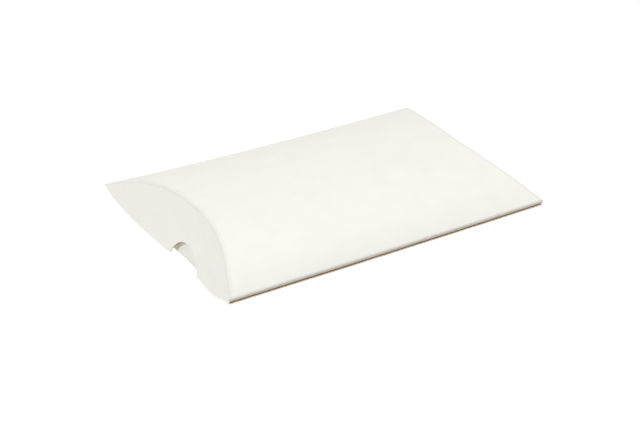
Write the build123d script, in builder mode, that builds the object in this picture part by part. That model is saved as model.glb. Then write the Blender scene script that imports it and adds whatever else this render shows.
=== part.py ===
"""Pillow box of folded card, closed, lying on its lower panel.

One die-cut card blank makes the whole box. Two bowed panels join along the back
fold, a glue flap behind the front fold closes the tube, and at each end an outer
flap with a thumb notch closes over a shallower inner flap. The blank is split here
at its folds and creases, so that every flap can swing.

X runs along the box, Y across it from the glued front edge to the back fold, and Z
up. The origin is under the middle of the box, at the height of what it lies on.
Lengths are in millimetres and angles in degrees.
"""

from build123d import *
from math import asin, cos, degrees, radians, sin, sqrt, tan
import os

# The box
box_length = 162.0
box_width = 114.0
panel_rise = 15.0
board = 0.5

# Long folds, and the glued seam inside the front edge
fold_radius = 0.75
glue_flap_width = 13.0
glue_flap_end_gap = 3.0
glue_flap_taper = 45.0
glue_film = 0.1
glue_width = 8.0
glue_end_gap = 22.0
seat_gap = 0.05

# End flaps
outer_flap_lean = 6.0
outer_flap_edge_lift = 0.3
inner_flap_setback = 0.8
inner_flap_reach = 4.5
flap_tip_gap = 2.4
crease_gap = 0.25

# Thumb notch in the free edge of each outer flap
notch_width = 23.5
notch_depth = 9.6
notch_corner_radius = 0.8

# How far a cutter runs past what it cuts
overrun = 4.0

half_length = box_length / 2
half_width = box_width / 2
box_height = 2 * panel_rise

# The skin of each panel is part of a cylinder that the rounded back fold touches
skin_radius = ((half_width - fold_radius) ** 2 + panel_rise**2 - fold_radius**2) / (
    2 * (panel_rise - fold_radius)
)
centre_drop = skin_radius - panel_rise
top_centre = (0, panel_rise - centre_drop)
bottom_centre = (0, panel_rise + centre_drop)
skin_half_width = sqrt(skin_radius**2 - centre_drop**2)

# The back fold
back_fold_y = half_width - fold_radius
back_angle = degrees(asin(back_fold_y / (skin_radius - fold_radius)))

# The glue flap lies one board and the glue inside the lower panel's skin
glue_room = glue_film + 2 * seat_gap
glue_flap_skin = skin_radius - board - glue_room

# The front fold touches the upper panel's skin and the glue flap's skin
top_reach = skin_radius - fold_radius
glue_reach = glue_flap_skin - fold_radius
front_fold_lift = (top_reach**2 - glue_reach**2) / (4 * centre_drop)
front_fold_y = sqrt(top_reach**2 - (centre_drop + front_fold_lift) ** 2)
front_angle = degrees(asin(front_fold_y / top_reach))
glue_flap_angle = degrees(asin(front_fold_y / glue_reach))
raw_edge_angle = degrees(asin(half_width / skin_radius))

# The end flaps, seen from above at the height of the corners
outer_crease_x = half_length + inner_flap_setback / 2
inner_crease_x = half_length - inner_flap_setback / 2
flap_half_width = half_width - flap_tip_gap
outer_flap_depth = panel_rise * (1 - tan(radians(outer_flap_lean)))
outer_flap_radius = (skin_half_width**2 + outer_flap_depth**2) / (2 * outer_flap_depth)
outer_flap_angle = degrees(asin(flap_half_width / outer_flap_radius))
inner_flap_angle = degrees(asin(flap_half_width / skin_radius))
inner_edge_radius = (skin_half_width**2 + inner_flap_reach**2) / (2 * inner_flap_reach)
notch_radius = ((notch_width / 2) ** 2 + notch_depth**2) / (2 * notch_depth)

flap_reach = panel_rise + overrun / 2


def arc_band(plane, centre, outer_radius, inner_radius, start, end):
    """A band of card seen on edge, between two arcs, cut square at both ends."""
    with BuildSketch(plane) as band:
        with BuildLine():
            outside = CenterArc(centre, outer_radius, start, end - start)
            inside = CenterArc(centre, inner_radius, start, end - start)
            Line(outside @ 0, inside @ 0)
            Line(outside @ 1, inside @ 1)
        make_face()
    return band.sketch


def crease_plane(end, face):
    """The plane of an end crease, at 45 degrees, facing out of the box.

    end is 1 or -1 along X, and face is 1 for the upper panel or -1 for the lower,
    whose crease is set back a little. The two planes at an end meet in its corners.
    """
    origin = (end * (half_length + face * inner_flap_setback / 2), 0, panel_rise)
    return Plane(origin=origin, x_dir=(0, end * face, 0), z_dir=(end, 0, face))


def crease_wall(end, face, shift, height):
    """A region of the crease's plane, cut off by the crease, that becomes a cutter.

    It reaches to the given height above the plane's origin: below it for the flap's
    side of the crease, above it for the panel's side. It is cut square to the plane,
    so that panel and flap meet in a mitre and the flap can swing out of it. shift
    moves the cut towards the flap.
    """
    stretch = sqrt(2)
    centre = (0, -shift - stretch * centre_drop)
    reach = degrees(asin((half_width + overrun) / skin_radius))
    with BuildSketch(crease_plane(end, face)) as wall:
        with BuildLine():
            crease = EllipticalCenterArc(
                centre, skin_radius, stretch * skin_radius, 90 - reach, arc_size=2 * reach
            )
            Polyline(
                crease @ 1,
                ((crease @ 1).X, height),
                ((crease @ 0).X, height),
                crease @ 0,
            )
        make_face()
    return wall.sketch


def corner_plane(end):
    """The level plane through the corners, with its X pointing out of that end."""
    return Plane(origin=(0, 0, panel_rise), x_dir=(end, 0, 0), z_dir=(0, 0, 1))


def trim_at_creases(face):
    """Cut the part being built back to the creases at both of its ends."""
    for end in (-1, 1):
        wall = crease_wall(end, face, 0, -(box_height + overrun))
        extrude(wall, amount=box_height, both=True, mode=Mode.SUBTRACT)


def trim_at_corners():
    """Cut the part being built to the two crease planes at each end."""
    for end in (-1, 1):
        for face in (-1, 1):
            split(bisect_by=crease_plane(end, face), keep=Keep.BOTTOM)


os.makedirs("parts", exist_ok=True)

# Upper panel: the bowed top of the box, from fold to fold
with BuildPart() as top_panel:
    profile = arc_band(
        Plane.YZ,
        top_centre,
        skin_radius,
        skin_radius - board,
        90 - back_angle,
        90 + front_angle,
    )
    extrude(profile, amount=half_length, both=True)
    trim_at_creases(1)
top_panel.part.label = "top_panel"
export_step(top_panel.part, "parts/top_panel.step")

# Lower panel: from the raw front edge to the back fold
with BuildPart() as bottom_panel:
    profile = arc_band(
        Plane.YZ,
        bottom_centre,
        skin_radius,
        skin_radius - board,
        270 - raw_edge_angle,
        270 + back_angle,
    )
    extrude(profile, amount=half_length, both=True)
    trim_at_creases(-1)
bottom_panel.part.label = "bottom_panel"
export_step(bottom_panel.part, "parts/bottom_panel.step")

# Back fold: the plain folded edge between the two panels
with BuildPart() as back_fold:
    profile = arc_band(
        Plane.YZ,
        (back_fold_y, panel_rise),
        fold_radius,
        fold_radius - board,
        back_angle - 90,
        90 - back_angle,
    )
    extrude(profile, amount=half_length, both=True)
    trim_at_corners()
back_fold.part.label = "back_fold"
export_step(back_fold.part, "parts/back_fold.step")

# Front fold: turns the upper panel under into the glue flap
with BuildPart() as front_fold:
    profile = arc_band(
        Plane.YZ,
        (-front_fold_y, panel_rise + front_fold_lift),
        fold_radius,
        fold_radius - board,
        90 + front_angle,
        270 - glue_flap_angle,
    )
    extrude(profile, amount=half_length, both=True)
    trim_at_corners()
front_fold.part.label = "front_fold"
export_step(front_fold.part, "parts/front_fold.step")

# Glue flap: lies inside on the lower panel, with tapered ends
with BuildPart() as glue_flap:
    profile = arc_band(
        Plane.YZ,
        bottom_centre,
        glue_flap_skin,
        glue_flap_skin - board,
        270 - glue_flap_angle,
        270 - glue_flap_angle + degrees(glue_flap_width / glue_flap_skin),
    )
    extrude(profile, amount=half_length, both=True)
    fold_side = half_length - glue_flap_end_gap
    free_side = fold_side - 2 * glue_flap_width * tan(radians(glue_flap_taper))
    free_y = 2 * glue_flap_width - half_width
    with BuildSketch(Plane.XY):
        with BuildLine():
            Polyline(
                (-fold_side, -half_width),
                (fold_side, -half_width),
                (free_side, free_y),
                (-free_side, free_y),
                close=True,
            )
        make_face()
    extrude(amount=box_height, mode=Mode.INTERSECT)
glue_flap.part.label = "glue_flap"
export_step(glue_flap.part, "parts/glue_flap.step")

# Glue line: the thin film that holds the glue flap to the lower panel
with BuildPart() as glue_line:
    glue_skin = skin_radius - board - seat_gap
    glue_start = degrees((glue_flap_width - glue_width) / 2 / glue_skin)
    profile = arc_band(
        Plane.YZ,
        bottom_centre,
        glue_skin,
        glue_skin - glue_film,
        270 - glue_flap_angle + glue_start,
        270 - glue_flap_angle + glue_start + degrees(glue_width / glue_skin),
    )
    extrude(profile, amount=half_length - glue_end_gap, both=True)
glue_line.part.label = "glue_line"
export_step(glue_line.part, "parts/glue_line.step")

# The free edge of an outer flap follows the lower crease, with a half-round notch
with BuildSketch(Plane.YZ) as outer_flap_edge:
    edge_radius = skin_radius - outer_flap_edge_lift
    notch_centre = outer_flap_edge_lift + notch_depth - notch_radius
    with BuildLine():
        reach = degrees(asin((half_width + overrun) / edge_radius))
        edge_arc = CenterArc(bottom_centre, edge_radius, 270 - reach, 2 * reach)
        Polyline(
            edge_arc @ 1,
            ((edge_arc @ 1).X, -overrun),
            ((edge_arc @ 0).X, -overrun),
            edge_arc @ 0,
        )
    make_face()
    with Locations((0, notch_centre)):
        Circle(notch_radius)
    notch_corners = outer_flap_edge.vertices().filter_by_position(
        Axis.X, -notch_width, notch_width
    )
    fillet(notch_corners, notch_corner_radius)

# The free edge of an inner flap is a shallow arc above the height of the corners
with BuildSketch(Plane.YZ) as inner_flap_edge:
    with BuildLine():
        inner_edge_centre = (0, panel_rise + inner_flap_reach - inner_edge_radius)
        reach = degrees(asin((half_width + overrun) / inner_edge_radius))
        edge_arc = CenterArc(inner_edge_centre, inner_edge_radius, 90 - reach, 2 * reach)
        edge_top = box_height + overrun
        Polyline(
            edge_arc @ 1,
            ((edge_arc @ 1).X, edge_top),
            ((edge_arc @ 0).X, edge_top),
            edge_arc @ 0,
        )
    make_face()

for end, side in ((-1, "left"), (1, "right")):
    # Outer flap: hangs from the upper crease and stands a little way off the inner flap
    with BuildPart() as outer_flap:
        lean = (end * sin(radians(outer_flap_lean)), 0, -cos(radians(outer_flap_lean)))
        profile = arc_band(
            corner_plane(end),
            (outer_crease_x - outer_flap_depth + outer_flap_radius, 0),
            outer_flap_radius + board,
            outer_flap_radius,
            180 - outer_flap_angle,
            180 + outer_flap_angle,
        )
        extrude(profile, amount=flap_reach, dir=lean, both=True)
        wall = crease_wall(end, 1, crease_gap, box_height + overrun)
        extrude(wall, amount=box_height, both=True, mode=Mode.SUBTRACT)
        extrude(outer_flap_edge.sketch, amount=box_length, both=True, mode=Mode.SUBTRACT)
    outer_flap.part.label = f"{side}_outer_flap"
    export_step(outer_flap.part, f"parts/{side}_outer_flap.step")

    # Inner flap: stands up from the lower crease, behind the outer flap
    with BuildPart() as inner_flap:
        profile = arc_band(
            corner_plane(end),
            (inner_crease_x + centre_drop, 0),
            skin_radius + board,
            skin_radius,
            180 - inner_flap_angle,
            180 + inner_flap_angle,
        )
        extrude(profile, amount=flap_reach, both=True)
        wall = crease_wall(end, -1, crease_gap, box_height + overrun)
        extrude(wall, amount=box_height, both=True, mode=Mode.SUBTRACT)
        extrude(inner_flap_edge.sketch, amount=box_length, both=True, mode=Mode.SUBTRACT)
    inner_flap.part.label = f"{side}_inner_flap"
    export_step(inner_flap.part, f"parts/{side}_inner_flap.step")
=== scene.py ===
"""Looks of the pillow box: white coated card, raw brown board inside and on its edges.

Every card piece is a skin that a Geometry Nodes tree sweeps from an outline, and it
gets its thickness on the inner side. X runs along the box, Y across it from the glued
front edge to the back fold, and Z up from the floor. Lengths are in metres.
"""

import math
from collections import namedtuple

import bpy
from mathutils import Matrix, Vector


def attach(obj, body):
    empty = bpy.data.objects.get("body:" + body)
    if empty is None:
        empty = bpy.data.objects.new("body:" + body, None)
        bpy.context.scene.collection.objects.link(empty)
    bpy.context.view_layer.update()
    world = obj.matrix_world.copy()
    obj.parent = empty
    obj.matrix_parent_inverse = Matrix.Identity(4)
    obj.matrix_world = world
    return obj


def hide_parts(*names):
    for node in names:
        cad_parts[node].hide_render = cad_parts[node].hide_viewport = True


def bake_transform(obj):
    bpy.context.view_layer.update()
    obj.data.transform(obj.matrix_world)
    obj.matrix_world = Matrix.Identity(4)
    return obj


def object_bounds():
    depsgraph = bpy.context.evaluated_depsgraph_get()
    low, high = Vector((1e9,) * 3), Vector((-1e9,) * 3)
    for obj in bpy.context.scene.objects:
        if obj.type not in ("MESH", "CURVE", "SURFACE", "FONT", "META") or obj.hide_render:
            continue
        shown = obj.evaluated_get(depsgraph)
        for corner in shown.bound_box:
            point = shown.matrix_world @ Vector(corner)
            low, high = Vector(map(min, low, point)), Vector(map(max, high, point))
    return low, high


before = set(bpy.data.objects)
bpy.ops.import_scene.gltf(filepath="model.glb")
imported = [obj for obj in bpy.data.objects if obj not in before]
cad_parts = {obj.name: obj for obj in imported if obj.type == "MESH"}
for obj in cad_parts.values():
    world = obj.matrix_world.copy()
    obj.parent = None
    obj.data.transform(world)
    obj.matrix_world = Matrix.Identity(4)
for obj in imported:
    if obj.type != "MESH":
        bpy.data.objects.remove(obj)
CAD_LOW, CAD_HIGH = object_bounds()

bl_info = {
    "name": "Pillow Box",
    "version": (1, 0, 0),
    "blender": (4, 5, 0),
    "location": "3D View > Sidebar > Pillow Box",
    "description": "Builds the card pieces, their finishes and the stage of a pillow box",
    "category": "Object",
}

MM = 0.001
ENDS = {"left": -1, "right": 1}
UPPER, LOWER = 1, -1

# How finely the skins are divided, and how densely an outline is drawn
ROWS_ALONG = 97
ROWS_ACROSS = 121
ROWS_ON_FOLD = 13
ROWS_ON_FLAP = 41
BEAD_ROWS_SHARE = 0.25
OUTLINE_STEP = 1.0 * MM
STEPS_ROUND_NOTCH = 24
STEPS_ROUND_CORNER = 8

# How a fold is found between two skins: the step for a slope, and the rounds of each search
SLOPE_STEP = 0.01 * MM
FOLD_ROUNDS = 60
TOUCH_ROUNDS = 40

# Exponents of the sag across the box, and of a crease's setback and skew towards its tips
SAG_POWER, SETBACK_POWER, SKEW_POWER = 4, 4, 3

# How closely the ripples of the card lie, as the scale of a noise texture
RIPPLE_SCALE = 34.0

# A crease's bead gets smaller towards the tips of the flap, by this share of the rise
BEAD_SHARE_OF_RISE = 0.45

# Height left at the back tip of an outer flap, as a share of the untapered one
BACK_TIP_SHARE = 0.55

# Where the raised middle of an outer flap's free edge ends, as a share of the half width
FRONT_LIFT_END = 0.48
BACK_LIFT_END = 0.85

# Where the trimmed front of an outer flap and its longer back begin and how far they take
# to come in, as shares of the half width
FRONT_TRIM_START, FRONT_TRIM_RUN = 0.515, 0.38
BACK_REACH_START, BACK_REACH_RUN = 0.4, 0.35

# How much more than the waist the box narrows at its back, and less at its front, as a share
WAIST_TO_BACK = 0.3

# A flap's skin starts a little inside and under the panel's, so that no gap shows
TUCK_LENGTH = 0.4 * MM
TUCK_DEPTH = 0.05 * MM

# A long fold ends this far behind the outer face of the flaps
FOLD_END_ROOM = 0.12 * MM

# Painted shade on an end crease, which dims the highlight its rounded bead catches, and how far
# that reaches to either side
CREASE_PAINTED_SHADE = 0.22
PANEL_SHADE_LENGTH = 1.2 * MM
FLAP_SHADE_LENGTH = 0.8 * MM

# Where painted shade darkens the front fold's rounded underside most, and how far that reaches,
# as shares of the way round
FOLD_SHADE_PLACE = 0.55
FOLD_SHADE_REACH = 0.17

# Raw board: how far its fibres are drawn out along it and across it, which share of them
# lies along it, and how its pale flecks are picked out of a noise, brightened and mixed in
FIBRE_DRAW, CROSS_FIBRE_DRAW = 0.16, 0.2
LENGTHWISE_SHARE = 0.65
FLECK_SCALE, FLECK_START, FLECK_CONTRAST = 0.45, 0.66, 12
FLECK_BRIGHTNESS, FLECK_STRENGTH = 1.5, 0.6

# The stage: how far its floor and the camera's view reach, and its lights' sizes and places
FLOOR_REACH = 6.0
VIEW_REACH = 20.0
OVERHEAD_SIZE, OVERHEAD_PLACE = 1.0, (0.16, 0.1, 1.3)
SIDE_SIZE, SIDE_PLACE = 0.6, (-1.6, -0.4, 1.3)


def number(name, default, about, **kind):
    """A number that a user can change."""
    return bpy.props.FloatProperty(name=name, description=about, default=default, **kind)


def length(name, default, about):
    """A length in metres that a user can change."""
    return number(name, default, about, precision=5, unit="LENGTH")


def angle(name, degrees, about):
    """An angle that a user can change."""
    return number(name, math.radians(degrees), about, subtype="ANGLE")


def colour(name, default, about):
    """A colour that a user can change."""
    return bpy.props.FloatVectorProperty(
        name=name, description=about, default=default, size=3, min=0, max=1, subtype="COLOR"
    )


class BoxShape(bpy.types.PropertyGroup):
    """Sizes of the folded box."""

    half_length: length("Half Length", CAD_HIGH.x, "From the middle to the corners, along X")
    half_width: length("Half Width", CAD_HIGH.y, "From the middle to the long edges, along Y")
    middle: length("Middle Height", CAD_HIGH.z / 2, "Height of the four corners")
    upper_rise: length("Upper Rise", 14.08 * MM, "Rise of the upper panel above the corners")
    lower_rise: length("Lower Rise", 15 * MM, "Drop of the lower panel below the corners")
    crease_bow: length("Crease Bow", 14.03 * MM, "How far the end creases bow into the box")
    crease_width: length("Crease Width", 56.9 * MM, "From the middle to the tip of a crease")
    setback: length("Lower Crease Setback", -0.2 * MM, "How much shorter the lower panel is")
    skew: length("Lower Crease Skew", 2.5 * MM, "How unevenly the lower creases bow")
    right_skew: length("Right Crease Skew", 2.5 * MM, "How unevenly the right creases bow")
    panel_fullness: number("Panel Fullness", 2.66, "Exponent of a panel's cross-section")
    crease_fullness: number("Crease Fullness", 2.08, "Exponent of an end crease's curve")
    sag: length("Sag", 0.74 * MM, "Drop of the long edges at the middle of the box")
    waist: length("Waist", 0.93 * MM, "Narrowing of the box at its middle")
    twist: length("Twist", -1.44 * MM, "Rise of one corner as its neighbour drops")
    rack: length("Rack", 1.03 * MM, "Shift of the panels along the box, one each way")
    ripple: length("Ripple", 0.12 * MM, "Depth of the unevenness of the card")
    floor: length("Floor", CAD_LOW.z + 0.005 * MM, "Height that the card rests on")


class CardShape(bpy.types.PropertyGroup):
    """Sizes of the card, its folds and its glued seam."""

    board: length("Board", 0.5 * MM, "Thickness of the card")
    front_radius: length("Front Fold Radius", 1.5 * MM, "Outer radius of the fold at the seam")
    back_radius: length("Back Fold Radius", 0.7 * MM, "Outer radius of the plain fold")
    crease_radius: length("Crease Radius", 0.6 * MM, "Outer radius of the end creases")
    corner_radius: length("Corner Radius", 0.15 * MM, "Rounding of the corners of the box")
    corner_cut: length("Corner Cut", 1.1 * MM, "Cut off the right corner of the raw front edge")
    # Painted shade on the underside of the front fold, where less light reaches
    fold_painted_shade: number("Fold Wear", 0.85, "How rubbed the front fold is along its middle")
    back_room: length("Back Room", 0.55 * MM, "From the back fold to where the skins would meet")
    seam_room: length("Seam Room", 2.0 * MM, "The same for the upper skin at the front")
    edge_room: length("Edge Room", 0.4 * MM, "The same for the lower skin at the front")
    glue_room: length("Glue Room", 0.1 * MM, "Gap that the glue fills")
    glue_flap_width: length("Glue Flap Width", 13 * MM, "Width of the flap inside the seam")
    glue_flap_end: length("Glue Flap End", 3 * MM, "From the end of the box to this flap")
    glue_width: length("Glue Width", 8 * MM, "Width of the glue line")
    glue_end: length("Glue End", 22 * MM, "From the end of the box to the glue line")


class FlapShape(bpy.types.PropertyGroup):
    """Sizes of the end flaps."""

    outer_lean: angle("Outer Flap Lean", 7.16, "How far an outer flap leans out of the box")
    inner_lean: angle("Inner Flap Lean", 4, "How far an inner flap leans into the box")
    edge_lift: length("Edge Lift", 0.8 * MM, "Free edge of an outer flap above the lower skin")
    front_trim: length("Front Trim", 1.45 * MM, "How much shorter an outer flap's front tip is")
    back_reach: length("Back Reach", 0.3 * MM, "How much longer an outer flap's back tip is")
    front_gap: length("Front Gap", 1.2 * MM, "From the front tip of a flap to the long edge")
    back_gap: length("Back Gap", 0.6 * MM, "From the back tip of a flap to the long edge")
    tip_taper: length("Tip Taper", 2.0 * MM, "How far an outer flap's back tip is tapered")
    notch_width: length("Notch Width", 24.2 * MM, "Width of the thumb notch")
    notch_depth: length("Notch Depth", 9.65 * MM, "Depth of the thumb notch")
    notch_corner: length("Notch Corner", 0.8 * MM, "Rounding where the notch meets the edge")
    inner_reach: length("Inner Flap Reach", 4.5 * MM, "Inner flap above the corners")
    outer_band: length("Outer Bending Band", 8 * MM, "Where an outer flap bends as it opens")
    inner_band: length("Inner Bending Band", 12 * MM, "Where an inner flap bends as it opens")


class CardFinish(bpy.types.PropertyGroup):
    """Colours of the card and the glue."""

    coat: colour("Coating", (0.872, 0.868, 0.81), "White coating on the outside")
    coat_shade: colour("Coating Shade", (0.835, 0.828, 0.765), "Duller clouds in the coating")
    # Painted shade: darkens the end creases and the underside of the front fold
    painted_shade: colour("Crease Shade", (0.56, 0.555, 0.51), "Coating that is pressed or rubbed")
    board: colour("Board", (0.5, 0.27, 0.13), "Raw board on the inside")
    board_dark: colour("Dark Fibres", (0.33, 0.165, 0.075), "Darker fibres in the raw board")
    edge: colour("Cut Edge", (0.76, 0.61, 0.43), "Raw board where the card is cut")
    edge_dark: colour("Dark Cut Edge", (0.58, 0.44, 0.3), "Darker layers in the cut edge")
    glue: colour("Glue", (0.82, 0.78, 0.66), "Dried glue")
    glue_amber: colour("Amber Glue", (0.656, 0.546, 0.33), "Dried glue where it is thicker")


class StageSettings(bpy.types.PropertyGroup):
    """The floor, the lights and the camera."""

    floor: colour("Floor", (0.15, 0.15, 0.15), "Floor, which glows as well")
    glow: number("Floor Glow", 0.95, "Brightness of the lit floor itself")
    sky: number("Surroundings", 0.1, "Brightness of the white surroundings")
    overhead: number("Overhead Light", 14.15, "Power of the broad light above, in watts")
    side: number("Side Light", 18.9, "Power of the softbox on the left, in watts")
    lens: number("Lens", 153.5, "Focal length of the camera, in millimetres")
    yaw: angle("Yaw", -31.796, "How far the camera is turned about the vertical")
    pitch: angle("Pitch", 29.438, "How far the camera looks down")
    roll: angle("Roll", 0.87, "How far the camera leans to one side")
    camera: bpy.props.FloatVectorProperty(
        name="Camera Place",
        description="Where the camera stands",
        default=(-0.5659, -0.9103, 0.6114),
        size=3,
        subtype="TRANSLATION",
    )


class PillowBox(bpy.types.PropertyGroup):
    """All that can be changed on the pillow box."""

    box: bpy.props.PointerProperty(type=BoxShape)
    card: bpy.props.PointerProperty(type=CardShape)
    flaps: bpy.props.PointerProperty(type=FlapShape)
    finish: bpy.props.PointerProperty(type=CardFinish)
    stage: bpy.props.PointerProperty(type=StageSettings)


class Value:
    """A number in a node tree, so that a formula there reads as one in the script."""

    def __init__(self, tree, socket):
        self.tree = tree
        self.socket = socket

    def math(self, operation, *terms):
        """Another number, worked out from this one and the others by a Math node."""
        node = self.tree.nodes.new("ShaderNodeMath")
        node.operation = operation
        for slot, term in zip(node.inputs, (self, *terms)):
            feed(slot, term)
        return Value(self.tree, node.outputs[0])

    def clamped(self):
        """This number, kept between 0 and 1."""
        return self.math("MAXIMUM", 0.0).math("MINIMUM", 1.0)

    def __add__(self, other):
        return self.math("ADD", other)

    __radd__ = __add__

    def __sub__(self, other):
        return self.math("SUBTRACT", other)

    def __rsub__(self, other):
        return (self * -1).math("ADD", other)

    def __mul__(self, other):
        return self.math("MULTIPLY", other)

    __rmul__ = __mul__

    def __truediv__(self, other):
        return self.math("DIVIDE", other)

    def __pow__(self, other):
        return self.math("POWER", other)

    def __abs__(self):
        return self.math("ABSOLUTE")


def feed(slot, term):
    """Link a value or a socket to an input, or set the input to a constant."""
    if isinstance(term, Value):
        term.tree.links.new(term.socket, slot)
    elif isinstance(term, bpy.types.NodeSocket):
        slot.id_data.links.new(term, slot)
    else:
        slot.default_value = term


def add_node(tree, kind, settings=(), **inputs):
    """A new node with its settings, whose inputs are named by keyword."""
    node = tree.nodes.new(kind)
    for name, value in dict(settings).items():
        setattr(node, name, value)
    for name, term in inputs.items():
        feed(node.inputs[name.replace("_", " ")], term)
    return node


def separate(tree, vector):
    """The X, Y and Z of a vector, as values."""
    node = add_node(tree, "ShaderNodeSeparateXYZ", Vector=vector)
    return [Value(tree, out) for out in node.outputs]


def combine(tree, x, y, z):
    """A vector socket from three numbers."""
    return add_node(tree, "ShaderNodeCombineXYZ", X=x, Y=y, Z=z).outputs[0]


def noise(tree, vector, scale, detail, roughness):
    """A noise texture's value, from 0 to 1."""
    node = add_node(
        tree, "ShaderNodeTexNoise", Vector=vector, Scale=scale, Detail=detail, Roughness=roughness
    )
    return Value(tree, node.outputs["Fac"])


def follow(tree, geometry, kind, settings=(), **inputs):
    """The geometry that a new node makes of another geometry."""
    return add_node(tree, kind, settings, Geometry=geometry, **inputs).outputs[0]


def new_tree(name, kind, inputs, outputs):
    """A node group with named inputs and outputs, and its Group Input and Group Output."""
    tree = bpy.data.node_groups.new(name, kind)
    for label, socket, default in inputs:
        made = tree.interface.new_socket(label, in_out="INPUT", socket_type=socket)
        if default is not None:
            made.default_value = default
    for label, socket in outputs:
        tree.interface.new_socket(label, in_out="OUTPUT", socket_type=socket)
    return tree, tree.nodes.new("NodeGroupInput"), tree.nodes.new("NodeGroupOutput")


def arrange(tree):
    """Lay the nodes out in columns, each to the right of those that feed it."""
    depth = {}

    def column(node):
        if node.name not in depth:
            depth[node.name] = 0
            feeders = [link.from_node for slot in node.inputs for link in slot.links]
            depth[node.name] = max([column(feeder) + 1 for feeder in feeders], default=0)
        return depth[node.name]

    filled = {}
    for node in tree.nodes:
        place = column(node)
        filled[place] = filled.get(place, 0) + 1
        node.location = (place * 200, -filled[place] * 180)


def shared_tree(name, build):
    """The node group of that name, which is built if it isn't there yet."""
    if name not in bpy.data.node_groups:
        build(name)
    return bpy.data.node_groups[name]


def values_of(tree, source):
    """Every number that a Group Input gives, by name."""
    return {s.name: Value(tree, s) for s in source.outputs if s.type == "VALUE"}


FLOAT = "NodeSocketFloat"
GEOMETRY = ("Geometry", "NodeSocketGeometry")

# Inputs of the card trees that come from the box's properties of the same names
SETTLE_SIZES = ("Half Length", "Half Width", "Middle", "Lower Rise")
SETTLE_SIZES += ("Sag", "Waist", "Twist", "Rack", "Ripple", "Floor")
CREASE_SIZES = ("Crease Bow", "Crease Width", "Crease Fullness", "Right Skew")


def settle_tree(name):
    """How the folded box settles: it sags, narrows, twists, racks and ripples a little."""
    inputs = [(*GEOMETRY, None), *((label, FLOAT, 0.0) for label in SETTLE_SIZES)]
    tree, source, target = new_tree(name, "GeometryNodeTree", inputs, [GEOMETRY])
    size = values_of(tree, source)
    place = tree.nodes.new("GeometryNodeInputPosition").outputs[0]
    x, y, z = separate(tree, place)
    along = x / size["Half Length"]
    across = y / size["Half Width"]
    mid_share = 1 - along * along
    z = z - size["Sag"] * mid_share * abs(across) ** SAG_POWER
    z = z + size["Twist"] * along * across * abs(across)
    y = y - size["Waist"] * mid_share * across * (1 + WAIST_TO_BACK * across)
    x = x + size["Rack"] * (z - size["Middle"]) / size["Lower Rise"]
    uneven = noise(tree, place, RIPPLE_SCALE, detail=1.0, roughness=0.5) - 0.5
    z = (z + size["Ripple"] * uneven * 2).math("MAXIMUM", size["Floor"])
    moved = follow(
        tree,
        source.outputs["Geometry"],
        "GeometryNodeSetPosition",
        Position=combine(tree, x, y, z),
    )
    feed(target.inputs["Geometry"], moved)
    arrange(tree)


def finish_card_tree(tree, source, target, mesh, place, card_map, worn):
    """Store a card grid's map and its share of painted shade, place it, let it settle, and end
    the tree.

    The map and the painted shade are stored first, because they are worked out from the places of
    the points in the flat grid.
    """
    stored = {"card_map": ("FLOAT2", "CORNER", card_map), "worn": ("FLOAT", "POINT", worn)}
    for name, (data_type, domain, value) in stored.items():
        kinds = {"data_type": data_type, "domain": domain}
        store = "GeometryNodeStoreNamedAttribute"
        mesh = follow(tree, mesh, store, kinds, Name=name, Value=value)
    mesh = follow(tree, mesh, "GeometryNodeSetPosition", Position=place)
    group = {"node_tree": shared_tree("Settled Card", settle_tree)}
    sizes = {label: source.outputs[label] for label in SETTLE_SIZES}
    mesh = follow(tree, mesh, "GeometryNodeGroup", group, **sizes)
    mesh = follow(tree, mesh, "GeometryNodeSetShadeSmooth")
    faces = tree.nodes.new("GeometryNodeInputMeshEdgeNeighbors")
    rim = add_node(tree, "FunctionNodeCompare", {"data_type": "INT", "operation": "LESS_THAN"})
    feed(rim.inputs[2], faces.outputs[0])
    feed(rim.inputs[3], 2)
    mesh = follow(
        tree,
        mesh,
        "GeometryNodeSetShadeSmooth",
        {"domain": "EDGE"},
        Selection=rim.outputs[0],
        Shade_Smooth=False,
    )
    mesh = follow(tree, mesh, "GeometryNodeRealizeInstances")
    material = source.outputs["Material"]
    mesh = follow(tree, mesh, "GeometryNodeSetMaterial", Material=material)
    feed(target.inputs["Geometry"], mesh)
    arrange(tree)


def card_tree(name, sizes):
    """A new card tree, with the inputs that all of them have and its own sizes."""
    inputs = [("Outline", "NodeSocketGeometry", None), ("Material", "NodeSocketMaterial", None)]
    inputs += [("Rows", "NodeSocketInt", 2), ("Columns", "NodeSocketInt", 2)]
    labels = (*SETTLE_SIZES, *CREASE_SIZES, "Setback", "Skew", *sizes)
    inputs += [(label, FLOAT, 0.0) for label in labels]
    return new_tree(name, "GeometryNodeTree", inputs, [GEOMETRY])


def grid(tree, columns, rows):
    """A unit grid, its mesh, and how far along it and across it each point is, from 0 to 1."""
    made = add_node(
        tree, "GeometryNodeMeshGrid", Size_X=1.0, Size_Y=1.0, Vertices_X=columns, Vertices_Y=rows
    )
    x, y, _ = separate(tree, tree.nodes.new("GeometryNodeInputPosition").outputs[0])
    return made.outputs["Mesh"], x + 0.5, y + 0.5


def crease_place(size, y, on_right):
    """How far from the middle of the box an end crease lies, at each Y."""
    across = y / size["Crease Width"]
    to_tip = abs(across).math("MINIMUM", 1.0)
    bow = size["Crease Bow"] * (1 - to_tip ** size["Crease Fullness"])
    room = 1 - to_tip**2
    inset = size["Setback"] * (1 - to_tip**SETBACK_POWER)
    inset = inset + size["Skew"] * across * room**SKEW_POWER
    behind = across.math("MAXIMUM", 0.0)
    inset = inset + size["Right Skew"] * behind * room * (1 + behind) * on_right
    return size["Half Length"] - bow - inset


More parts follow.
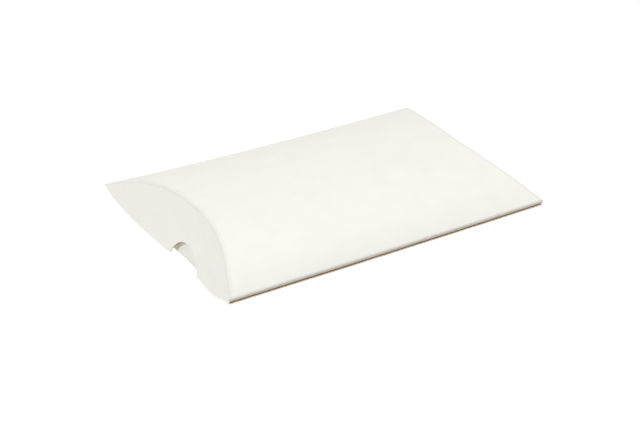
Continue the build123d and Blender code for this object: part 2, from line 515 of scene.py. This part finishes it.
def sweep_tree(name):
    """Card that runs along the box: its cross-section is the outline, its ends the creases."""
    sizes = ("Trim At Start", "Trim At End", "Bead Radius", "Bead Turn")
    tree, source, target = card_tree(name, (*sizes, "Corner Radius", "Corner Cut", "Fold Wear"))
    size = values_of(tree, source)
    mesh, along, across = grid(tree, source.outputs["Columns"], source.outputs["Rows"])
    sample = add_node(
        tree,
        "GeometryNodeSampleCurve",
        {"mode": "FACTOR", "data_type": "FLOAT"},
        Curves=source.outputs["Outline"],
        Factor=across,
    )
    _, y, z = separate(tree, sample.outputs["Position"])
    trim = size["Trim At Start"] * (1 - across) + size["Trim At End"] * across
    rise = abs(z - size["Middle"])
    bead = size["Bead Turn"] * size["Bead Radius"].math("MINIMUM", rise * BEAD_SHARE_OF_RISE)
    past = (abs(y) - size["Half Width"] + size["Corner Radius"]).math("MAXIMUM", 0.0)
    left = (size["Corner Radius"] ** 2 - past * past).math("MAXIMUM", 0.0).math("SQRT")
    on_right = along.math("GREATER_THAN", 0.5)
    cut = (size["Corner Cut"] - size["Half Width"] - y).math("MAXIMUM", 0.0) * on_right
    end = crease_place(size, y, on_right) - trim - bead - cut - size["Corner Radius"] + left
    x = (along * 2 - 1) * end
    run = add_node(tree, "GeometryNodeCurveLength", Curve=source.outputs["Outline"])
    card_map = combine(tree, x, across * run.outputs[0], 0.0)
    to_end = end - abs(x)
    # Painted shade on the front fold's underside, and at the end creases where it dims the
    # rounded bead's highlight
    fold_shading = size["Fold Wear"] * (1 - abs(across - FOLD_SHADE_PLACE) / FOLD_SHADE_REACH)
    crease_shading = CREASE_PAINTED_SHADE * (1 - to_end / PANEL_SHADE_LENGTH)
    worn = crease_shading.math("MAXIMUM", fold_shading).math("MAXIMUM", 0.0)
    finish_card_tree(tree, source, target, mesh, combine(tree, x, y, z), card_map, worn)


def flap_tree(name):
    """An end flap: it turns over its crease and runs straight on to the outline's edge.

    Each point of the outline gives a column of card. Its Y is the column's place, and
    its Z is how far the free edge there lies below or above the crease.
    """
    sizes = ("End", "Face", "Rise", "Panel Fullness", "Front Point", "Back Point", "Lean")
    tree, source, target = card_tree(name, (*sizes, "Bead Radius"))
    size = values_of(tree, source)
    outline = source.outputs["Outline"]
    count = add_node(
        tree, "GeometryNodeAttributeDomainSize", {"component": "CURVE"}, Geometry=outline
    )
    points = count.outputs["Point Count"]
    mesh, along, across = grid(tree, points, source.outputs["Rows"])
    column = (along * (Value(tree, points) - 1)).math("ROUND")
    sample = add_node(
        tree, "GeometryNodeSampleIndex", {"data_type": "FLOAT_VECTOR"}, Geometry=outline
    )
    feed(sample.inputs["Value"], tree.nodes.new("GeometryNodeInputPosition").outputs[0])
    feed(sample.inputs["Index"], column)
    _, y, drop = separate(tree, sample.outputs[0])
    in_front = y.math("LESS_THAN", 0.0)
    point = size["Back Point"] + (size["Front Point"] - size["Back Point"]) * in_front
    rise = size["Rise"] * (1 - (abs(y) / point) ** size["Panel Fullness"])
    crease = crease_place(size, y, size["End"].math("GREATER_THAN", 0.0))
    radius = size["Bead Radius"].math("MINIMUM", rise * BEAD_SHARE_OF_RISE)
    radius = radius.math("MINIMUM", drop * BEAD_SHARE_OF_RISE)
    full_turn = math.pi / 2 - size["Lean"]
    turn = full_turn * (across / BEAD_ROWS_SHARE).math("MINIMUM", 1.0)
    run_share = ((across - BEAD_ROWS_SHARE) / (1 - BEAD_ROWS_SHARE)).math("MAXIMUM", 0.0)
    run = run_share * (drop - radius * (1 - full_turn.math("COSINE")))
    bead_start = crease - radius * (full_turn * 0.5).math("TANGENT")
    tuck = (1 - across * (Value(tree, source.outputs["Rows"]) - 1)).math("MAXIMUM", 0.0)
    x = bead_start + radius * turn.math("SINE") + run * size["Lean"].math("TANGENT")
    x = x - tuck * TUCK_LENGTH
    z = rise - radius * (1 - turn.math("COSINE")) - run - tuck * TUCK_DEPTH
    z = size["Middle"] + size["Face"] * z
    card_map = combine(tree, y, radius * turn + run, 0.0)
    # Painted shade along the crease bead, fading out along the flap
    worn = CREASE_PAINTED_SHADE * (1 - run / FLAP_SHADE_LENGTH).math("MAXIMUM", 0.0)
    place = combine(tree, x * size["End"], y, z)
    finish_card_tree(tree, source, target, mesh, place, card_map, worn)


def add_object(name, data):
    """A new object in the scene."""
    made = bpy.data.objects.new(name, data)
    bpy.context.scene.collection.objects.link(made)
    return made


def run_tree(name, tree, points, inputs):
    """Run a tree on an outline through points of (y, z), and keep the result as a mesh."""
    curve = bpy.data.curves.new(name + "_outline", "CURVE")
    curve.dimensions = "3D"
    spline = curve.splines.new("POLY")
    spline.points.add(len(points) - 1)
    for point, (y, z) in zip(spline.points, points):
        point.co = (0, y, z, 1)
    host = add_object(name + "_outline", curve)
    modifier = host.modifiers.new("Card", "NODES")
    modifier.node_group = tree
    for item in tree.interface.items_tree:
        if item.in_out == "INPUT" and item.name in inputs:
            modifier[item.identifier] = inputs[item.name]
    depsgraph = bpy.context.evaluated_depsgraph_get()
    mesh = bpy.data.meshes.new_from_object(
        host.evaluated_get(depsgraph), preserve_all_data_layers=True, depsgraph=depsgraph
    )
    bpy.data.objects.remove(host)
    bpy.data.curves.remove(curve)
    if not mesh.polygons:
        raise RuntimeError(f"{name} came out empty")
    mesh.name = name
    return add_object(name, mesh)


def thicken(piece, coated_rim=False):
    """Give a skin the card's thickness inwards, with raw board there and on an uncoated rim."""
    for material in board_materials():
        piece.data.materials.append(material)
    solid = piece.modifiers.new("Thickness", "SOLIDIFY")
    solid.thickness = settings().card.board
    solid.offset = -1
    solid.use_even_offset = True
    solid.material_offset = 1
    solid.material_offset_rim = 0 if coated_rim else 2


def settings():
    """The sizes and colours in use."""
    return bpy.context.scene.pillow_box


def shared_inputs():
    """What the card trees take in common, by the names of their inputs."""
    box = settings().box
    labels = (*SETTLE_SIZES, *CREASE_SIZES)
    return {
        **{label: getattr(box, label.lower().replace(" ", "_")) for label in labels},
        "Material": shared_material("coated_card", coat_shader),
        "Bead Radius": settings().card.crease_radius,
    }


def point_width(side, face):
    """Where a panel's skin, run on past its fold, comes down to the height of the corners."""
    card = settings().card
    front_room = card.seam_room if face == UPPER else card.edge_room
    return settings().box.half_width + (card.back_room if side > 0 else front_room)


def rise_at(y, face):
    """Height of a panel's skin above or below the corners."""
    box = settings().box
    rise = box.upper_rise if face == UPPER else box.lower_rise
    return rise * (1 - (abs(y) / point_width(y, face)) ** box.panel_fullness)


def upper_skin(y):
    """Height of the upper panel's outer face."""
    return settings().box.middle + rise_at(y, UPPER)


def lower_skin(y):
    """Height of the lower panel's outer face."""
    return settings().box.middle - rise_at(y, LOWER)


def slope(skin, y):
    """How steeply a skin rises towards the back."""
    return (skin(y + SLOPE_STEP) - skin(y - SLOPE_STEP)) / (2 * SLOPE_STEP)


def glue_skin(y, thickness=0.0):
    """Height of the underside of the glue, or of what lies on a thickness of glue."""
    depth = settings().card.board + thickness
    return lower_skin(y) + depth * math.hypot(1, slope(lower_skin, y))


def glue_flap_skin(y):
    """Height of the glue flap's outer face, which lies on the glue."""
    return glue_skin(y, settings().card.glue_room)


def touch(skin, y, radius, face):
    """Where a circle inside the box, with its centre at y, touches a skin.

    Returns the Y of the touching point and the height of the centre.
    """
    at = y
    for _ in range(TOUCH_ROUNDS):
        tilt = slope(skin, at)
        at = y - face * radius * tilt / math.hypot(1, tilt)
    return at, skin(at) - face * radius / math.hypot(1, slope(skin, at))


# A round long fold: its centre as (y, z), and the Y where it leaves each skin
Fold = namedtuple("Fold", "centre upper_y lower_y")


def fold_between(top, bottom, side):
    """The fold that touches two skins at one side of the box."""
    card, half_width = settings().card, settings().box.half_width
    radius = card.back_radius if side > 0 else card.front_radius
    near, far = side * half_width * 0.5, side * (half_width - radius)
    for _ in range(FOLD_ROUNDS):
        middle = (near + far) / 2
        upper_y, upper_centre = touch(top, middle, radius, UPPER)
        lower_y, lower_centre = touch(bottom, middle, radius, LOWER)
        if upper_centre > lower_centre:
            near = middle
        else:
            far = middle
    return Fold((middle, (upper_centre + lower_centre) / 2), upper_y, lower_y)


def long_folds():
    """The front fold, between the upper panel and the glue flap, and the back fold."""
    front = fold_between(upper_skin, glue_flap_skin, -1)
    return front, fold_between(upper_skin, lower_skin, 1)


def skin_points(skin, start, end):
    """Points along a skin, from one Y to another."""
    steps = max(2, math.ceil(abs(end - start) / OUTLINE_STEP))
    places = [start + (end - start) * step / steps for step in range(steps + 1)]
    return [(y, skin(y)) for y in places]


def arc_points(centre, start, end):
    """Points round a fold, between two points of (y, z) on it, past its outermost one."""
    radius = math.dist(centre, start)
    first = math.atan2(start[1] - centre[1], start[0] - centre[0])
    last = math.atan2(end[1] - centre[1], end[0] - centre[0])
    if last > first:
        last -= 2 * math.pi
    angles = [first + (last - first) * step / ROWS_ON_FOLD for step in range(ROWS_ON_FOLD + 1)]
    return [(centre[0] + radius * math.cos(a), centre[1] + radius * math.sin(a)) for a in angles]


def sweep(name, node, points, rows, **values):
    """Build a piece of card that runs along the box, in place of a CAD node."""
    inputs = {
        **shared_inputs(),
        "Columns": ROWS_ALONG,
        "Rows": rows,
        "Bead Turn": math.tan((math.pi / 2 - settings().flaps.outer_lean) / 2),
        "Corner Radius": settings().card.corner_radius,
        **{label.replace("_", " "): value for label, value in values.items()},
    }
    piece = run_tree(name, shared_tree("Card Along Box", sweep_tree), points, inputs)
    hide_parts(node)
    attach(piece, "tube")
    return piece


def flap_pair(kind, face, columns, band, **sizes):
    """Build a flap at each end, in place of its CAD node."""
    card = settings().card
    tree = shared_tree("Card End Flap", flap_tree)
    for side, end in ENDS.items():
        body = f"{side}_{kind}"
        inputs = {
            **shared_inputs(),
            "Rows": ROWS_ON_FLAP,
            "Panel Fullness": settings().box.panel_fullness,
            "Front Point": point_width(-1, face),
            "Back Point": point_width(1, face),
            "End": float(end),
            "Face": float(face),
            **sizes,
        }
        outline = columns[::-1] if end * face > 0 else columns
        piece = run_tree(body + "_flap_card", tree, outline, inputs)
        thicken(piece)
        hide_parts(body + "_flap")
        crown, away = crease_plane(end, face, sizes.get("Setback", 0.0))
        start = crown + away * (card.crease_radius + card.board)
        start + away * band
        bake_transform(piece)


def settled(x, y, z):
    """Where a point of the box comes to lie once the box has settled, but for the ripples."""
    box = settings().box
    along, across = x / box.half_length, y / box.half_width
    mid_share = 1 - along**2
    z += box.twist * along * across * abs(across) - box.sag * mid_share * across**SAG_POWER
    y -= box.waist * mid_share * across * (1 + WAIST_TO_BACK * across)
    x += box.rack * (z - box.middle) / box.lower_rise
    return Vector((x, y, z))


def crease_plane(end, face, setback):
    """The middle of an end crease, and the way from its plane towards its flap."""
    box = settings().box
    rise = box.upper_rise if face == UPPER else box.lower_rise
    crown_x = end * (box.half_length - box.crease_bow - setback)
    crown = settled(crown_x, 0, box.middle + face * rise)
    front, back = (settled(end * box.half_length, y, box.middle) - crown for y in flap_ends())
    away = front.cross(back).normalized()
    if away.dot(Vector((-end, 0, -face))) < 0:
        away.negate()
    return crown, away


def flap_ends():
    """The Y places of an end flap's front and back tip."""
    half_width, flaps = settings().box.half_width, settings().flaps
    return flaps.front_gap - half_width, half_width - flaps.back_gap


def flap_columns():
    """The Y places of an end flap's columns, evenly from tip to tip."""
    front, back = flap_ends()
    steps = math.ceil((back - front) / OUTLINE_STEP)
    return [front + (back - front) * step / steps for step in range(steps + 1)]


def notched_edge():
    """The columns of an outer flap, with how far each free edge lies below the crease."""
    flaps = settings().flaps
    half = flaps.notch_width / 2
    radius = (half**2 + flaps.notch_depth**2) / (2 * flaps.notch_depth)
    centre = flaps.notch_depth - radius
    corner = flaps.notch_corner
    corner_y = math.sqrt((radius + corner) ** 2 - (corner - centre) ** 2)
    touch_y = corner_y * radius / (radius + corner)

    def depth(y):
        """Depth of the notch above the free edge."""
        if abs(y) >= corner_y:
            return 0.0
        if abs(y) > touch_y:
            return corner - math.sqrt(corner**2 - (corner_y - abs(y)) ** 2)
        return centre + math.sqrt(radius**2 - y**2)

    steps = range(STEPS_ROUND_NOTCH + 1)
    turns = [math.asin(touch_y / radius) * step / STEPS_ROUND_NOTCH for step in steps]
    half_places = [radius * math.sin(turn) for turn in turns]
    low = math.asin((corner_y - touch_y) / corner)
    steps = range(1, STEPS_ROUND_CORNER + 1)
    turns = [low * (1 - step / STEPS_ROUND_CORNER) for step in steps]
    half_places += [corner_y - corner * math.sin(turn) for turn in turns]
    places = sorted({-y for y in half_places} | set(half_places))
    places += [y for y in flap_columns() if abs(y) > corner_y + OUTLINE_STEP / 2]
    _, back_tip = flap_ends()
    columns = []
    for y in sorted(places):
        fall = rise_at(y, UPPER) + rise_at(y, LOWER) - depth(y)
        taper = min(1.0, (back_tip - y) / flaps.tip_taper)
        share = BACK_TIP_SHARE + (1 - BACK_TIP_SHARE) * taper
        columns.append((y, (fall - edge_lift(y)) * share))
    return columns


def edge_lift(y):
    """How far an outer flap's free edge lies above the lower skin.

    It lies higher in the middle, and at its front tip, which is trimmed to clear the
    seam, and it reaches a little below the skin near its back tip.
    """
    flaps = settings().flaps
    across = y / settings().box.half_width
    lift_end = FRONT_LIFT_END if y < 0 else BACK_LIFT_END
    middle = flaps.edge_lift * max(0.0, 1 - (across / lift_end) ** 2)
    if y < 0:
        share = smooth_step((-across - FRONT_TRIM_START) / FRONT_TRIM_RUN)
        return middle + flaps.front_trim * share
    share = smooth_step((across - BACK_REACH_START) / BACK_REACH_RUN)
    return middle - flaps.back_reach * share


def smooth_step(share):
    """An even change from 0 to 1."""
    share = min(max(share, 0.0), 1.0)
    return share * share * (3 - 2 * share)


def inner_edge():
    """The columns of an inner flap, with how far each free edge lies above the crease."""
    box, flaps = settings().box, settings().flaps
    columns = []
    for y in flap_columns():
        over = flaps.inner_reach * (1 - (y / box.half_width) ** 2)
        columns.append((y, rise_at(y, LOWER) + over))
    return columns


def shared_material(name, build, **values):
    """The material of that name, which is built if it isn't there yet.

    build gets the material's tree and the inputs of its Principled BSDF.
    """
    if name not in bpy.data.materials:
        material = bpy.data.materials.new(name)
        material.use_nodes = True
        tree = material.node_tree
        build(tree, tree.nodes["Principled BSDF"].inputs, **values)
        arrange(tree)
    return bpy.data.materials[name]


def stretch(tree, vector, factors):
    """A vector, scaled along each axis."""
    node = add_node(tree, "ShaderNodeVectorMath", {"operation": "MULTIPLY"})
    feed(node.inputs[0], vector)
    node.inputs[1].default_value = factors
    return node.outputs[0]


def mix_colour(tree, share, first, second):
    """A colour between two others."""
    node = add_node(tree, "ShaderNodeMix", {"data_type": "RGBA"}, Factor=share)
    slots = [slot for slot in node.inputs if slot.type == "RGBA"]
    for slot, tint in zip(slots, (first, second)):
        feed(slot, tint if isinstance(tint, bpy.types.NodeSocket) else (*tint, 1.0))
    return [slot for slot in node.outputs if slot.type == "RGBA"][0]


def vary(pattern, middle, spread):
    """A number that a pattern from 0 to 1 moves to either side of its middle."""
    return (pattern - 0.5) * spread + middle


def paper_grain_tree(name):
    """Fine grain and broad clouds of paper, from 0 to 1."""
    inputs = [("Vector", "NodeSocketVector", None), ("Grain Scale", FLOAT, 2600.0)]
    inputs += [("Cloud Scale", FLOAT, 90.0)]
    outputs = [("Grain", FLOAT), ("Clouds", FLOAT)]
    tree, source, target = new_tree(name, "ShaderNodeTree", inputs, outputs)
    vector = source.outputs["Vector"]
    fine = noise(tree, vector, source.outputs["Grain Scale"], detail=3.0, roughness=0.65)
    broad = noise(tree, vector, source.outputs["Cloud Scale"], detail=4.0, roughness=0.55)
    feed(target.inputs["Grain"], fine)
    feed(target.inputs["Clouds"], broad)
    arrange(tree)


def board_fibres_tree(name):
    """Fibres of raw board that lie mostly along the first axis, from 0 to 1."""
    inputs = [("Vector", "NodeSocketVector", None), ("Fibre Scale", FLOAT, 1400.0)]
    outputs = [("Fibres", FLOAT), ("Flecks", FLOAT)]
    tree, source, target = new_tree(name, "ShaderNodeTree", inputs, outputs)
    lengthwise = stretch(tree, source.outputs["Vector"], (FIBRE_DRAW, 1.0, 1.0))
    crosswise = stretch(tree, source.outputs["Vector"], (1.0, CROSS_FIBRE_DRAW, 1.0))
    scale = source.outputs["Fibre Scale"]
    first = noise(tree, lengthwise, scale, detail=3.0, roughness=0.6)
    second = noise(tree, crosswise, scale, detail=2.0, roughness=0.5)
    fibres = first * LENGTHWISE_SHARE + second * (1 - LENGTHWISE_SHARE)
    feed(target.inputs["Fibres"], fibres)
    fleck_scale = Value(tree, scale) * FLECK_SCALE
    flecks = noise(tree, lengthwise, fleck_scale, detail=1.0, roughness=0.4)
    feed(target.inputs["Flecks"], ((flecks - FLECK_START) * FLECK_CONTRAST).clamped())
    arrange(tree)


def place_group(tree, name, build, **inputs):
    """The numbers that a shared shader group gives in a material's tree."""
    group = {"node_tree": shared_tree(name, build)}
    placed = add_node(tree, "ShaderNodeGroup", group, **inputs)
    return [Value(tree, out) for out in placed.outputs]


def bump(tree, height, strength, distance):
    """A normal from a height."""
    node = add_node(tree, "ShaderNodeBump", Strength=strength, Distance=distance, Height=height)
    return node.outputs[0]


def coat_shader(tree, slots):
    """White coated card: nearly matt, faintly clouded, and darkened by painted shade at the end
    creases and under the front fold.
    """
    finish = settings().finish
    card_map = add_node(tree, "ShaderNodeUVMap", {"uv_map": "card_map"}).outputs[0]
    fine, clouds = place_group(tree, "Paper Grain", paper_grain_tree, Vector=card_map)
    worn = add_node(tree, "ShaderNodeAttribute", {"attribute_name": "worn"}).outputs["Fac"]
    share = vary(clouds, middle=0.4, spread=1.6).clamped()
    coating = mix_colour(tree, share, finish.coat, finish.coat_shade)
    # Painted shade, mixed into the coating by the stored share
    feed(slots["Base Color"], mix_colour(tree, worn, coating, finish.painted_shade))
    feed(slots["Roughness"], vary(fine, middle=0.5, spread=0.16))
    feed(slots["Specular IOR Level"], 0.35)
    height = fine + clouds * 0.5
    feed(slots["Normal"], bump(tree, height, strength=0.25, distance=0.03 * MM))


def board_shader(tree, slots, light, dark, fibre_scale, depth):
    """Raw brown board with its fibres and flecks."""
    coords = tree.nodes.new("ShaderNodeTexCoord").outputs["Object"]
    sizes = {"Vector": coords, "Fibre Scale": fibre_scale}
    fibres, flecks = place_group(tree, "Board Fibres", board_fibres_tree, **sizes)
    grain, _ = place_group(tree, "Paper Grain", paper_grain_tree, Vector=coords)
    base = mix_colour(tree, vary(fibres, middle=0.4, spread=2.2).clamped(), light, dark)
    pale = [min(1.0, channel * FLECK_BRIGHTNESS) for channel in light]
    feed(slots["Base Color"], mix_colour(tree, flecks * FLECK_STRENGTH, base, pale))
    feed(slots["Roughness"], vary(grain, middle=0.78, spread=0.2))
    feed(slots["Specular IOR Level"], 0.25)
    height = fibres + flecks * 0.4
    feed(slots["Normal"], bump(tree, height, strength=0.5, distance=depth))


def board_materials():
    """Raw board, for the uncoated inside of the card and for its cut edges."""
    finish = settings().finish
    inside = {"light": finish.board, "dark": finish.board_dark, "fibre_scale": 1400.0}
    edge = {"light": finish.edge, "dark": finish.edge_dark, "fibre_scale": 2600.0}
    return (
        shared_material("raw_board", board_shader, **inside, depth=0.05 * MM),
        shared_material("cut_edge", board_shader, **edge, depth=0.08 * MM),
    )


def glue_shader(tree, slots):
    """Dried glue, a little glossy, with small bubbles."""
    finish = settings().finish
    coords = tree.nodes.new("ShaderNodeTexCoord").outputs["Object"]
    bubbles = noise(tree, coords, scale=420.0, detail=2.0, roughness=0.5)
    feed(slots["Base Color"], mix_colour(tree, bubbles, finish.glue, finish.glue_amber))
    feed(slots["Roughness"], vary(bubbles, middle=0.35, spread=0.2))
    feed(slots["Normal"], bump(tree, bubbles, strength=0.6, distance=0.08 * MM))


def floor_shader(tree, slots):
    """A pale floor that looks evenly lit, because it glows as well."""
    stage = settings().stage
    feed(slots["Base Color"], (*stage.floor, 1.0))
    feed(slots["Roughness"], 0.9)
    feed(slots["Emission Color"], (1.0, 1.0, 1.0, 1.0))
    feed(slots["Emission Strength"], stage.glow)


class BuildUpperPanel(bpy.types.Operator):
    """Build the bowed upper panel"""

    bl_idname = "pillow_box.upper_panel"
    bl_label = "Upper Panel"

    def execute(self, context):
        front, back = long_folds()
        points = skin_points(upper_skin, front.upper_y, back.upper_y)
        piece = sweep("upper_panel_card", "top_panel", points, ROWS_ACROSS)
        thicken(piece, coated_rim=True)
        return {"FINISHED"}


class BuildLowerPanel(bpy.types.Operator):
    """Build the bowed lower panel, up to its raw front edge"""

    bl_idname = "pillow_box.lower_panel"
    bl_label = "Lower Panel"

    def execute(self, context):
        box = settings().box
        _, back = long_folds()
        points = skin_points(lower_skin, back.lower_y, -box.half_width)
        piece = sweep(
            "lower_panel_card",
            "bottom_panel",
            points,
            ROWS_ACROSS,
            Setback=box.setback,
            Skew=box.skew,
            Bead_Turn=1.0,
            Corner_Radius=0.0,
            Corner_Cut=settings().card.corner_cut,
        )
        thicken(piece)
        return {"FINISHED"}


class BuildFolds(bpy.types.Operator):
    """Build the rounded long folds at the back and at the front"""

    bl_idname = "pillow_box.folds"
    bl_label = "Long Folds"

    def execute(self, context):
        front, back = long_folds()
        start = (back.upper_y, upper_skin(back.upper_y))
        end = (back.lower_y, lower_skin(back.lower_y))
        self.build("back_fold", arc_points(back.centre, start, end), 0.0)
        start = (front.lower_y, glue_flap_skin(front.lower_y))
        end = (front.upper_y, upper_skin(front.upper_y))
        # The front fold gets painted shade on its underside; the back fold gets none
        self.build("front_fold", arc_points(front.centre, start, end), settings().card.fold_painted_shade)
        return {"FINISHED"}

    def build(self, node, points, fold_shade):
        """A fold whose ends close the gaps beside the tips of the flaps."""
        piece = sweep(
            node + "_card",
            node,
            points,
            ROWS_ON_FOLD,
            Trim_At_Start=FOLD_END_ROOM,
            Trim_At_End=FOLD_END_ROOM,
            Bead_Turn=0.0,
            Fold_Wear=fold_shade,
        )
        thicken(piece, coated_rim=True)


class BuildGlueFlap(bpy.types.Operator):
    """Build the tapered flap inside the seam and the glue that holds it"""

    bl_idname = "pillow_box.glue_flap"
    bl_label = "Glue Flap and Glue"

    def execute(self, context):
        card = settings().card
        front, _ = long_folds()
        straight = {"Crease_Bow": 0.0, "Bead_Turn": 0.0}
        free_y = front.lower_y + card.glue_flap_width
        piece = sweep(
            "glue_flap_card",
            "glue_flap",
            skin_points(glue_flap_skin, free_y, front.lower_y),
            ROWS_ON_FLAP,
            Trim_At_Start=card.glue_flap_end + card.glue_flap_width,
            Trim_At_End=card.glue_flap_end,
            **straight,
        )
        thicken(piece)
        start_y = front.lower_y + (card.glue_flap_width + card.glue_width) / 2
        piece = sweep(
            "glue_line_film",
            "glue_line",
            skin_points(glue_skin, start_y, start_y - card.glue_width),
            ROWS_ON_FLAP,
            Material=shared_material("dried_glue", glue_shader),
            Trim_At_Start=card.glue_end,
            Trim_At_End=card.glue_end,
            **straight,
        )
        solid = piece.modifiers.new("Thickness", "SOLIDIFY")
        solid.thickness = card.glue_room
        solid.offset = -1
        return {"FINISHED"}


class BuildOuterFlaps(bpy.types.Operator):
    """Build the outer end flaps with their thumb notches"""

    bl_idname = "pillow_box.outer_flaps"
    bl_label = "Outer Flaps"

    def execute(self, context):
        flaps = settings().flaps
        sizes = {"Rise": settings().box.upper_rise, "Lean": flaps.outer_lean}
        flap_pair("outer", UPPER, notched_edge(), flaps.outer_band, **sizes)
        return {"FINISHED"}


class BuildInnerFlaps(bpy.types.Operator):
    """Build the shallower inner end flaps"""

    bl_idname = "pillow_box.inner_flaps"
    bl_label = "Inner Flaps"

    def execute(self, context):
        box, flaps = settings().box, settings().flaps
        sizes = {"Rise": box.lower_rise, "Lean": -flaps.inner_lean}
        sizes.update(Setback=box.setback, Skew=box.skew)
        flap_pair("inner", LOWER, inner_edge(), flaps.inner_band, **sizes)
        return {"FINISHED"}


class BuildStage(bpy.types.Operator):
    """Build the pale floor, the soft lights and the camera"""

    bl_idname = "pillow_box.stage"
    bl_label = "Stage"

    def execute(self, context):
        scene, stage = context.scene, settings().stage
        self.add_floor()
        self.add_lights(scene, stage)
        self.add_camera(scene, stage)
        return {"FINISHED"}

    def add_floor(self):
        """A wide pale floor."""
        mesh = bpy.data.meshes.new("floor")
        signs = ((-1, -1), (1, -1), (1, 1), (-1, 1))
        corners = [(x * FLOOR_REACH, y * FLOOR_REACH, 0) for x, y in signs]
        mesh.from_pydata(corners, [], [(0, 1, 2, 3)])
        mesh.materials.append(shared_material("pale_floor", floor_shader))
        add_object("floor", mesh)

    def add_lights(self, scene, stage):
        """Dim white surroundings, a broad light overhead and a softbox low on the left."""
        world = bpy.data.worlds.new("surroundings")
        world.use_nodes = True
        background = world.node_tree.nodes["Background"]
        background.inputs["Color"].default_value = (1.0, 1.0, 1.0, 1.0)
        background.inputs["Strength"].default_value = stage.sky
        scene.world = world
        self.add_softbox("overhead_light", stage.overhead, OVERHEAD_SIZE, OVERHEAD_PLACE)
        self.add_softbox("side_light", stage.side, SIDE_SIZE, SIDE_PLACE)
        scene.view_settings.view_transform = "Standard"

    def add_softbox(self, name, power, size, place):
        """A round soft light that is turned towards the box."""
        lamp = bpy.data.lights.new(name, "AREA")
        lamp.shape = "DISK"
        lamp.size = size
        lamp.energy = power
        light = add_object(name, lamp)
        light.location = place
        light.rotation_euler = (-Vector(place)).to_track_quat("-Z", "Y").to_euler()

    def add_camera(self, scene, stage):
        """The camera at the photograph's viewing angle."""
        data = bpy.data.cameras.new("camera")
        data.lens = stage.lens
        data.clip_end = VIEW_REACH
        camera = add_object("camera", data)
        turn = Matrix.Rotation(stage.yaw, 4, "Z")
        turn = turn @ Matrix.Rotation(math.pi / 2 - stage.pitch, 4, "X")
        turn = turn @ Matrix.Rotation(stage.roll, 4, "Z")
        camera.matrix_world = Matrix.Translation(stage.camera) @ turn
        scene.camera = camera


class PillowBoxPanel(bpy.types.Panel):
    """Sidebar panel of the pillow box"""

    bl_idname = "VIEW3D_PT_pillow_box"
    bl_label = "Pillow Box"
    bl_space_type = "VIEW_3D"
    bl_region_type = "UI"
    bl_category = "Pillow Box"

    def draw(self, context):
        for operator in OPERATORS:
            self.layout.operator(operator.bl_idname)
        for group_name in PillowBox.__annotations__:
            group = getattr(context.scene.pillow_box, group_name)
            box = self.layout.box()
            for name in group.__annotations__:
                box.prop(group, name)


OPERATORS = (
    BuildUpperPanel,
    BuildLowerPanel,
    BuildFolds,
    BuildGlueFlap,
    BuildOuterFlaps,
    BuildInnerFlaps,
    BuildStage,
)
GROUPS = (BoxShape, CardShape, FlapShape, CardFinish, StageSettings, PillowBox)


def register():
    for item in (*GROUPS, *OPERATORS, PillowBoxPanel):
        bpy.utils.register_class(item)
    bpy.types.Scene.pillow_box = bpy.props.PointerProperty(type=PillowBox)


def unregister():
    del bpy.types.Scene.pillow_box
    for item in reversed((*GROUPS, *OPERATORS, PillowBoxPanel)):
        bpy.utils.unregister_class(item)


def main():
    """Build the whole box."""
    register()
    for operator in OPERATORS:
        getattr(bpy.ops.pillow_box, operator.bl_idname.split(".")[1])()


if __name__ == "__main__":
    main()
